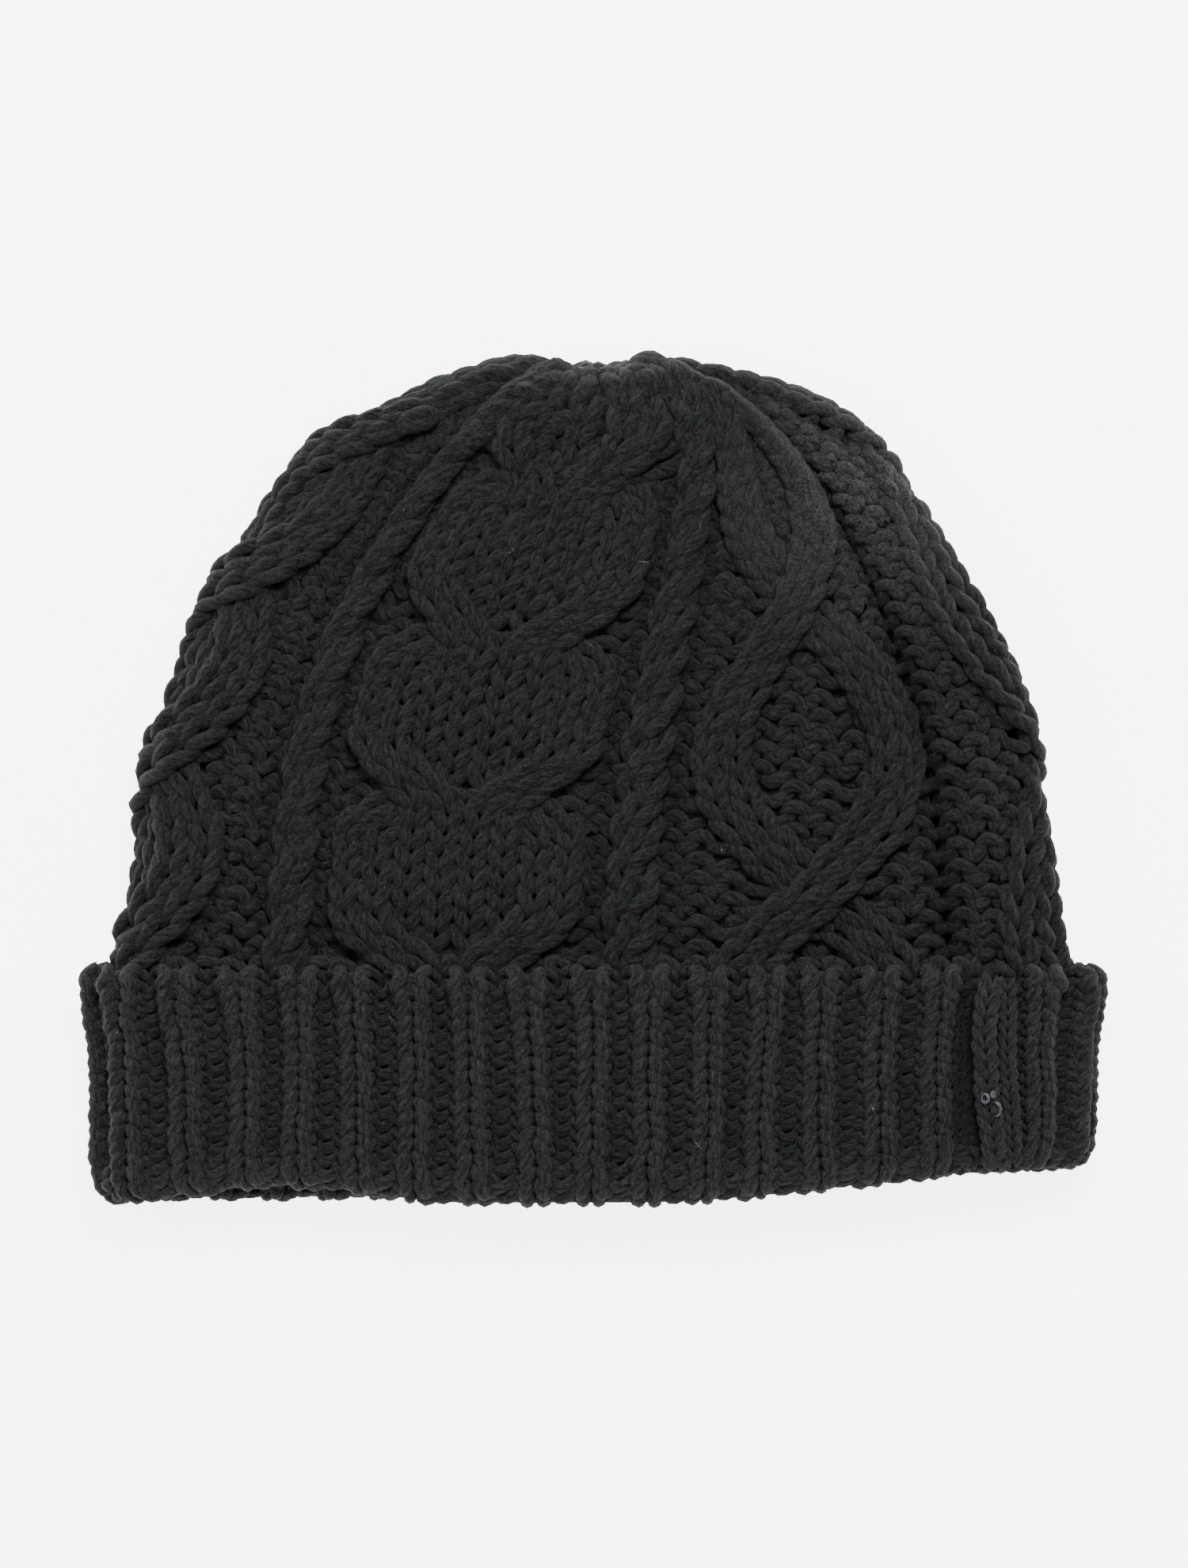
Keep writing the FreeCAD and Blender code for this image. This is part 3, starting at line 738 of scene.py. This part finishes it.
class YarnMesh:
    """Tubes of yarn gathered into one mesh, with the place along and around each strand, and the depth that
    sets the painted shade in the hollows.
    """

    def __init__(self):
        self.vertices, self.faces, self.along, self.round, self.deep = [], [], [], [], []
        self.total = 0

    def put(self, vertices, faces, along, circle, deep):
        """Adds vertices and faces, with each vertex's place along and around its strand, and its depth for
        the painted shade in the hollows.
        """
        self.vertices.append(vertices.reshape(-1, 3))
        self.faces.append(faces.reshape(-1, 4) + self.total)
        self.along.append(along)
        self.round.append(circle)
        self.deep.append(deep)
        self.total += len(along)

    def add(self, points, normals, radius, deep=0.0, closed=True, sides=SIDES, thick=0.05, fuzz=None):
        """Adds a tube of yarn around a line of points. fuzz is the body that its fibres ride on. deep sets
        how much painted shade it gets in the hollows.
        """
        count = len(points)
        if closed:
            tangents = np.roll(points, -1, axis=0) - np.roll(points, 1, axis=0)
        else:
            tangents = np.gradient(points, axis=0)
        tangents = unit(tangents)
        side = unit(np.cross(tangents, normals))
        over = np.cross(side, tangents)
        angle = np.arange(sides) * 2 * np.pi / sides
        size = radius * (1 + thick * smooth_noise(count, 9))
        if not closed:
            ends = np.minimum(np.arange(count), np.arange(count)[::-1])
            size = size * np.clip(0.25 + ends * 0.4, 0, 1)
        ring = np.cos(angle)[:, None] * side[:, None] + np.sin(angle)[:, None] * over[:, None]
        vertices = points[:, None] + ring * size[:, None, None]
        if fuzz:
            sprout(points, ring, size, fuzz)
        along = np.repeat(run_length(points) + RNG.uniform(0, 40), sides)
        circle = np.tile(on_circle(angle), (count, 1))
        deep = np.repeat(np.broadcast_to(deep, count), sides)
        self.put(vertices, grid_quads(count, sides, closed), along, circle, deep)

    def add_skin(self, grid, rows, inset, groove=0.0):
        """Adds the felted back of the fabric: a closed sheet set in from the loops' middle by
        inset, which may differ from row to row. It has more slots at the seam."""
        slots = np.concatenate([SEAM_SLOTS, np.arange(grid.count)])
        levels, count = len(rows), len(slots)
        rolled = seam_roll(np.abs(from_seam(slots, grid.count)), groove) if groove else 0 * slots
        below = np.repeat(np.broadcast_to(inset, levels), count) - np.tile(rolled, levels)
        points, normals = grid.at(np.repeat(rows, count), np.tile(slots, levels))
        along = np.repeat(np.arange(levels) * 2.2, count)
        circle = on_circle(np.tile(np.arange(count) * 0.9, levels))
        # painted shade: the felted back is darkened a little, as a hollow
        deep = np.full(levels * count, 0.35)
        self.put(points - normals * below[:, None], grid_quads(levels, count), along, circle, deep)

    def build(self, name, material, body, nodes):
        """Makes the mesh and its piece, no lower than just above the floor."""
        vertices = np.concatenate(self.vertices)
        vertices[:, 2] = np.maximum(vertices[:, 2], LOWEST)
        faces = np.concatenate(self.faces)
        mesh = bpy.data.meshes.new(name)
        mesh.vertices.add(len(vertices))
        mesh.vertices.foreach_set("co", (vertices * MM).astype(np.float32).ravel())
        mesh.loops.add(faces.size)
        mesh.loops.foreach_set("vertex_index", faces.astype(np.int32).ravel())
        mesh.polygons.add(len(faces))
        mesh.polygons.foreach_set("loop_start", np.arange(0, faces.size, 4, dtype=np.int32))
        mesh.polygons.foreach_set("use_smooth", np.ones(len(faces), dtype=bool))
        circle = np.concatenate(self.round)
        attributes = (
            ("yarn_along", "FLOAT", "value", np.concatenate(self.along)),
            # the depth, which the material turns into painted shade in the hollows
            ("yarn_hollow_shade", "FLOAT", "value", np.concatenate(self.deep)),
            ("yarn_round", "FLOAT_VECTOR", "vector", np.pad(circle, ((0, 0), (0, 1)))),
        )
        for attribute, kind, field, values in attributes:
            data = mesh.attributes.new(attribute, kind, "POINT").data
            data.foreach_set(field, values.astype(np.float32).ravel())
        mesh.update(calc_edges=True)
        mesh.materials.append(material)
        piece = show(name, mesh)
        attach(piece, body)
        if nodes:
            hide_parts(*nodes)


# ---- materials


def feed(node, inputs):
    """Gives inputs of a shader node a number, a colour or the output of another node."""
    for name, value in inputs.items():
        if isinstance(value, bpy.types.NodeSocket):
            node.id_data.links.new(value, node.inputs[name])
        else:
            node.inputs[name].default_value = value


class Nodes:
    """Short calls that add and link shader nodes."""

    def __init__(self, name):
        self.material = bpy.data.materials.new(name)
        self.material.use_nodes = True
        self.tree = self.material.node_tree
        self.shader = self.tree.nodes["Principled BSDF"]

    def add(self, kind, **values):
        node = self.tree.nodes.new(kind)
        for key, value in values.items():
            setattr(node, key, value)
        return node

    def math(self, operation, *values):
        node = self.add("ShaderNodeMath", operation=operation)
        feed(node, dict(enumerate(values)))
        return node.outputs[0]

    def noise(self, vector, scale, detail):
        node = self.add("ShaderNodeTexNoise")
        feed(node, {"Vector": vector, "Scale": scale, "Detail": detail})
        return node.outputs["Fac"]

    def ramp(self, factor, stops):
        node = self.add("ShaderNodeValToRGB")
        elements = node.color_ramp.elements
        while len(elements) < len(stops):
            elements.new(0.5)
        for element, (position, colour) in zip(elements, stops):
            element.position = position
            element.color = (*colour, 1.0)
        feed(node, {"Fac": factor})
        return node.outputs["Color"]

    def mix(self, factor, first, second, blend="MIX"):
        node = self.add("ShaderNodeMix", data_type="RGBA", blend_type=blend)
        feed(node, {0: factor, 6: first, 7: second})
        return node.outputs[2]


PLIES = 5
TWIST = 15.0  # the length of a ply's full turn along the yarn
COOL, GREY, WARM = (0.93, 1.0, 0.97), (0.98, 0.98, 0.98), (1.05, 0.985, 0.98)


def yarn_fibres(nodes):
    """How high the plies stand, and the streaks of the fibres that run along their twist."""
    along = nodes.add("ShaderNodeAttribute", attribute_name="yarn_along").outputs["Fac"]
    around = nodes.add("ShaderNodeAttribute", attribute_name="yarn_round").outputs["Vector"]
    split = nodes.add("ShaderNodeSeparateXYZ")
    feed(split, {0: around})
    angle = nodes.math("ARCTAN2", split.outputs["Y"], split.outputs["X"])
    phase = nodes.math("ADD", angle, nodes.math("MULTIPLY", along, 2 * math.pi / TWIST))
    plies = nodes.math("COSINE", nodes.math("MULTIPLY", phase, PLIES))
    fibre = nodes.add("ShaderNodeCombineXYZ")
    feed(fibre, {0: nodes.math("MULTIPLY", nodes.math("COSINE", phase), 2.4)})
    feed(fibre, {1: nodes.math("MULTIPLY", nodes.math("SINE", phase), 2.4)})
    feed(fibre, {2: nodes.math("MULTIPLY", along, 0.35)})
    streaks = nodes.noise(fibre.outputs[0], 2.2, 4.0)
    return nodes.math("MULTIPLY_ADD", plies, 0.5, 0.5), nodes.math("MULTIPLY_ADD", streaks, 2.3, -0.65)


def add_felting(nodes, position, colour):
    """Mixes in the paler, matted patch at the upper right."""
    place = nodes.add("ShaderNodeMapping", vector_type="POINT")
    feed(place, {"Vector": position, "Location": (-1.55, -1.60, -0.25), "Scale": (24.0, 24.0, 10.0)})
    ball = nodes.add("ShaderNodeTexGradient", gradient_type="SPHERICAL")
    feed(ball, {0: place.outputs[0]})
    broad = nodes.noise(position, 22.0, 2.0)
    felted = nodes.math("MULTIPLY", ball.outputs["Fac"], nodes.math("ADD", broad, 0.5))
    matted = nodes.noise(position, 1700.0, 4.0)
    matted = nodes.ramp(matted, ((0.36, (0.008, 0.008, 0.008)), (0.66, (0.062, 0.060, 0.060))))
    return nodes.mix(nodes.math("MULTIPLY", felted, 0.65), colour, matted)


def paint_hollow_shade(nodes, colour):
    """Paints shade into the yarn in the hollows: the deeper it lies in the fabric, the darker, standing in
    for the shadow there.
    """
    shade_share = nodes.add("ShaderNodeAttribute", attribute_name="yarn_hollow_shade").outputs["Fac"]
    # painted shade: mixes towards near-black by the yarn's depth
    return nodes.mix(nodes.math("MULTIPLY", shade_share, 0.48), colour, (0.0015, 0.0017, 0.0016, 1.0))


def yarn_colour(nodes, position, ply_height, streaks, dark, light):
    """A melange of dark and light fibres with cool and warm tints."""
    shade = nodes.math("MULTIPLY", streaks, 0.80)
    shade = nodes.math("MULTIPLY_ADD", ply_height, 0.18, shade)
    shade = nodes.math("MULTIPLY_ADD", nodes.noise(position, 260.0, 3.0), 0.34, shade)
    shade = nodes.math("MULTIPLY_ADD", nodes.noise(position, 1500.0, 4.0), 1.15, shade)
    shade = nodes.math("SUBTRACT", shade, 0.755)
    colour = nodes.ramp(shade, ((0.15, dark), (0.85, light)))
    hue = nodes.ramp(nodes.noise(position, 210.0, 3.0), ((0.36, COOL), (0.50, GREY), (0.64, WARM)))
    return nodes.mix(1.0, colour, hue, "MULTIPLY")


def yarn_material(name, dark, light):
    """Charcoal yarn of five twisted plies, with fine fibres, a melange of tints, soft fluff and painted
    shade in the hollows.
    """
    nodes = Nodes(name)
    position = nodes.add("ShaderNodeTexCoord").outputs["Object"]
    ply_height, streaks = yarn_fibres(nodes)
    colour = yarn_colour(nodes, position, ply_height, streaks, dark, light)
    # the felted patch, then painted shade where the yarn lies deep in the fabric
    colour = paint_hollow_shade(nodes, add_felting(nodes, position, colour))
    height = nodes.math("MULTIPLY", ply_height, 0.55)
    height = nodes.math("MULTIPLY_ADD", streaks, 0.9, height)
    height = nodes.math("MULTIPLY_ADD", nodes.noise(position, 2600.0, 3.0), 1.1, height)
    bumps = nodes.add("ShaderNodeBump")
    feed(bumps, {"Height": height, "Strength": 0.8, "Distance": 0.00045})
    roughness = nodes.math("MULTIPLY_ADD", streaks, 0.2, 0.75)
    feed(nodes.shader, {"Base Color": colour, "Normal": bumps.outputs[0], "Roughness": roughness})
    feed(nodes.shader, {"Specular IOR Level": 0.07, "Sheen Weight": 0.03, "Sheen Roughness": 0.45})
    feed(nodes.shader, {"Sheen Tint": (0.9, 0.92, 0.95, 1.0)})
    return nodes.material


CABLE_YARN = yarn_material("cable_yarn", (0.0024, 0.0027, 0.0026), (0.020, 0.021, 0.0205))
RIB_YARN_LOOK = yarn_material("rib_yarn", (0.0034, 0.0037, 0.0035), (0.027, 0.0275, 0.027))
FIBRE_LOOK = yarn_material("loose_fibre", (0.012, 0.012, 0.012), (0.05, 0.05, 0.05))
LINT_LOOK = yarn_material("lint", (0.08, 0.08, 0.09), (0.34, 0.33, 0.37))
PILL_LOOK = yarn_material("pill", (0.03, 0.03, 0.036), (0.17, 0.165, 0.19))
SEAM_YARN_LOOK = yarn_material("seam_yarn", (0.0036, 0.0038, 0.0037), (0.028, 0.028, 0.028))


# ---- camera, floor and light


HAT_MIDDLE = 0.017  # metres above the floor


def make_camera():
    """Straight above the hat. The frame is 367.7 mm tall at the hat's middle height."""
    camera = bpy.data.cameras.new("camera")
    frame_height, distance = 0.3677, 1.45  # metres
    camera.sensor_width = 36.0
    camera.lens = camera.sensor_width * distance / frame_height
    camera.clip_start = 0.01
    place = (0.0002, -0.0006, distance + HAT_MIDDLE)
    bpy.context.scene.camera = show("camera", camera, place)


def make_floor():
    mesh = bpy.data.meshes.new("floor")
    reach = 3.0
    corners = [(-reach, -reach, 0), (reach, -reach, 0), (reach, reach, 0), (-reach, reach, 0)]
    mesh.from_pydata(corners, [], [(0, 1, 2, 3)])
    nodes = Nodes("floor")
    feed(nodes.shader, {"Base Color": (0.9, 0.9, 0.9, 1), "Roughness": 0.9})
    feed(nodes.shader, {"Emission Color": (1, 1, 1, 1), "Emission Strength": 5.0})
    mesh.materials.append(nodes.material)
    show("floor", mesh)


def add_light(name, location, size, power):
    light = bpy.data.lights.new(name, "AREA")
    light.shape = "SQUARE"
    light.size = size
    light.energy = power
    lamp = show(name, light, location)
    direction = Vector((0, 0, 0.015)) - Vector(location)
    lamp.rotation_euler = direction.to_track_quat("-Z", "Y").to_euler()


def make_light():
    world = bpy.data.worlds.new("studio")
    world.use_nodes = True
    feed(world.node_tree.nodes["Background"], {"Color": (1, 1, 1, 1), "Strength": 0.7})
    bpy.context.scene.world = world
    add_light("key", (0.16, 0.62, 1.28), size=0.4, power=33)
    add_light("fill", (-0.8, 0.2, 1.2), size=0.9, power=10)


# ---- pieces


def make_body():
    surface, half_widths, heights = body_surface()
    slots = body_slots(surface, half_widths, heights)
    grid = StitchGrid(surface, slots, BODY_ROWS, 0.0, 0.99)
    wales = body_wales()
    for band in range(BODY_BANDS):
        yarn = YarnMesh()
        for row in range(BODY_ROWS * band // BODY_BANDS, BODY_ROWS * (band + 1) // BODY_BANDS):
            points, normals, size, deep = course(grid, wales, row, BODY_LOOP, 24)
            yarn.add(points, normals, BODY_YARN * size, deep, fuzz="hat")
        yarn.build(f"cable_rows_{band + 1}", CABLE_YARN, "hat", ["cable_body"])
    skin = YarnMesh()
    skin.add_skin(grid, np.arange(0, BODY_ROWS + 0.1, 0.5), SKIN_INSET, BODY_LOOP["groove"])
    skin.build("cable_ground", CABLE_YARN, "hat", ["cable_body"])


def make_rib():
    """The rib in pieces, each with its first and last rows, and the samples in a stitch and the
    sides of its yarn, which are fewer inside the hat."""
    row_height = CUFF_STRETCHES[0] / CUFF_ROWS
    rows = int(round(sum(CUFF_STRETCHES) / row_height))
    grid = StitchGrid(CUFF_SURFACE, rib_slots(CUFF_SURFACE), rows)
    wales = rib_wales(rows)
    half = CUFF_ROWS // 2
    fold_end = CUFF_ROWS + FOLD_ROWS - 1
    band_half = fold_end + 8
    parts = (
        ("cast_on_course", 0, 1, "cuff", "cast_on_edge", 24, 8),
        ("cuff_rows_upper", 1, half, "cuff", "turn_up_cuff", 20, 8),
        ("cuff_rows_lower", half, CUFF_ROWS - 1, "cuff", "turn_up_cuff", 20, 8),
        ("hem_fold_rows", CUFF_ROWS - 1, fold_end, "cuff", "folded_hem", 20, 8),
        ("band_rows_lower", fold_end, band_half, "hat", "inner_band", 16, 6),
        ("band_rows_upper", band_half, rows, "hat", "inner_band", 16, 6),
    )
    for name, first, last, body, node, samples, sides in parts:
        yarn = YarnMesh()
        for row in range(first, last):
            points, normals, size, deep = course(grid, wales, row, RIB_LOOP, samples)
            fuzz = "cuff" if body == "cuff" else None
            yarn.add(points, normals, RIB_YARN * size, deep, sides=sides, fuzz=fuzz)
        if name == "cast_on_course":
            add_edge_loops(yarn, grid)
        if name == "hem_fold_rows":
            fold_rows = np.linspace(CUFF_ROWS, CUFF_ROWS + 3, 13)
            yarn.add_skin(grid, fold_rows, 1.3 - 2.9 * bump(fold_rows, FOLD_MIDDLE, 1.5))
        yarn.build(name, RIB_YARN_LOOK, body, [node])


def add_edge_loops(yarn, grid):
    """The small loop that the cast-on leaves between the two legs of each rib."""
    turn = np.linspace(0, 2 * np.pi, 20, endpoint=False)
    for rib in range(RIBS):
        rows = 0.50 + 0.45 * np.cos(turn) + 0.1 * RNG.normal()
        slots = 2 + 2 * rib + 0.16 * np.sin(turn)
        points, normals = grid.at(rows, slots)
        yarn.add(points + normals * (0.9 + 0.3 * np.cos(turn)[:, None]), normals, 1.35)


def rope(yarn, path, strand, offset, pitch, aside=0.0):
    """Two strands twisted about a line that runs aside from a path of points."""
    path = np.asarray(path, dtype=float)
    length = run_length(path)[-1]
    count = max(12, int(length / 0.7))
    points = walk(path, count)
    normals = np.tile(UP, (count, 1))
    side = unit(np.cross(np.gradient(points, axis=0), normals))
    points = points + side * aside
    for strand_index in range(2):
        angle = np.linspace(0, length, count) * 2 * np.pi / pitch + strand_index * np.pi
        outward = np.cos(angle)[:, None] * side + np.sin(angle)[:, None] * normals
        yarn.add(points + outward * offset, normals, strand, closed=False)


def plait(yarn, path, strand, pitch):
    """A column of stitches: two thin ropes side by side that twist opposite ways."""
    for way in (-1, 1):
        rope(yarn, path, strand, strand * 0.62, way * pitch, aside=way * strand * 1.3)


def line_through(points, count=60):
    """A smooth line through a few points, evenly stepped."""
    points = np.asarray(points, dtype=float)
    at = np.linspace(0, len(points) - 1, count)
    smooth = np.array([np.interp(at, np.arange(len(points)), column) for column in points.T]).T
    for _ in range(12):
        smooth[1:-1] = (smooth[:-2] + 2 * smooth[1:-1] + smooth[2:]) / 4
    return smooth


def on_cuff(points):
    """Places points of (x, y, lift) on the cuff's upper side, from its fabric's middle."""
    x, y, lift = np.array(points).T
    quarter = AROUND // 4
    top = CUFF_SURFACE.points[0, : quarter + 1]
    return np.stack([x, y, np.interp(x, top[:, 0], top[:, 2]) + lift], axis=1)


# The raised seam's two columns on the cuff: x, y and the lift from the fabric's middle
THICK_COLUMN = (
    (93.0, -44.8, 3.0),
    (91.6, -50, 4.6),
    (90.6, -58, 4.9),
    (91.2, -66, 4.9),
    (91.4, -74, 4.8),
    (93.0, -83, 4.4),
    (93.6, -90.3, 1.2),
)
THIN_COLUMN = (
    (96.2, -45.6, 2.4),
    (96.4, -54, 3.6),
    (96.0, -63, 4.0),
    (96.6, -72, 4.0),
    (97.4, -82, 3.8),
    (97.6, -89.6, 1.2),
)


def make_ridge():
    yarn = YarnMesh()
    plait(yarn, line_through(on_cuff(THICK_COLUMN)), strand=1.08, pitch=6.8)
    plait(yarn, line_through(on_cuff(THIN_COLUMN)), strand=0.84, pitch=5.6)
    yarn.build("cuff_seam_ridge", SEAM_YARN_LOOK, "cuff", ["cuff_seam"])


def make_stitching(name, node, path):
    """The yarn that sews a seam up inside the hat."""
    yarn = YarnMesh()
    rope(yarn, path, strand=1.0, offset=0.9, pitch=6.0)
    yarn.build(name, SEAM_YARN_LOOK, "hat", [node])


def make_seams():
    make_ridge()
    low, high = span("band_seam")
    x, z = (low[0] + high[0]) / 2, high[2] - 1.2
    make_stitching("band_seam_stitching", "band_seam", [(x, low[1] + 2, z), (x, high[1] - 1, z)])
    low, high = span("body_seam")
    bow = [(x, low[1] + 1, z), (high[0] - 4.2, -10, z), (high[0] - 10, 22, z), (low[0] + 5, high[1] - 4, z)]
    make_stitching("body_seam_stitching", "body_seam", line_through(bow))


# The rounds of yarn that close the crown: radius, how flat, and height
GATHER_ROUNDS = ((7.5, 0.85, 94.0), (4.8, 0.85, 93.2), (2.0, 0.9, 92.2))


def make_crown():
    """Rounds of drawn-up yarn, with nine waves in each."""
    middle = BODY_MAX[2] / 2
    yarn = YarnMesh()
    turn = np.linspace(0, 2 * np.pi, 72, endpoint=False)
    for radius, flat, height in GATHER_ROUNDS:
        reach = radius + 0.5 * np.sin(turn * 9)
        y = height + 0.7 * np.cos(turn * 9)
        points = np.stack([reach * np.cos(turn), y, middle + reach * flat * np.sin(turn)], axis=1)
        yarn.add(points, np.tile([0.0, 1.0, 0.0], (len(turn), 1)), 1.5)
    yarn.build("crown_gather_rounds", CABLE_YARN, "hat", ["crown_gather"])


def make_tail():
    """The free end of the yarn that gathers the crown, on the route of its CAD solid."""
    curve = bpy.data.curves.new("gather_yarn_tail", "CURVE")
    curve.dimensions = "3D"
    curve.bevel_depth = 0.0015
    curve.bevel_resolution = 4
    curve.use_fill_caps = True
    z = (TAIL_MIN[2] + TAIL_MAX[2]) / 2 * MM
    route = [(0.0, 0.0903, z), (0.0, 0.0823, z), (0.0, 0.0763, z), (0.012, 0.0763, z), (0.028, 0.0763, z)]
    spline = curve.splines.new("NURBS")
    spline.points.add(len(route) - 1)
    for point, place in zip(spline.points, route):
        point.co = (*place, 1.0)
    spline.order_u = 3
    spline.use_endpoint_u = True
    curve.materials.append(SEAM_YARN_LOOK)
    tail = show("gather_yarn_tail", curve)
    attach(tail, "hat")
    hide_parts("gather_yarn_end")


# Each pill's place, size and how much of a ring it is
PILLS = ((90.8, -73.4, 0.75, 1.0), (92.7, -72.4, 0.35, 1.0), (93.1, -76.0, 1.25, 0.55))
PILL_LIFT = 6.9  # over the middle of the cuff's fabric


def make_lint():
    """Pale pills of fibre caught on the seam's ridge."""
    pills = YarnMesh()
    for x, y, size, whole in PILLS:
        closed = whole == 1.0
        turn = np.linspace(-1.6, 2 * np.pi * whole - 1.6, 16, endpoint=not closed)
        tilt = RNG.uniform(0.3, 0.9)
        ring = np.stack([np.cos(turn), 1.3 * np.sin(turn), 0.5 * tilt * np.sin(2 * turn)], axis=1) * size
        normals = np.tile(UP, (len(turn), 1))
        place = on_cuff([(x, y, PILL_LIFT)])
        pills.add(ring + place, normals, 0.42, closed=closed, sides=6, thick=0.3)
    pills.build("seam_pills", PILL_LOOK, "cuff", [])


make_camera()
make_tail()
make_floor()
make_light()
make_body()
make_rib()
make_seams()
make_crown()
make_lint()
make_fluff("hat")
make_fluff("cuff")
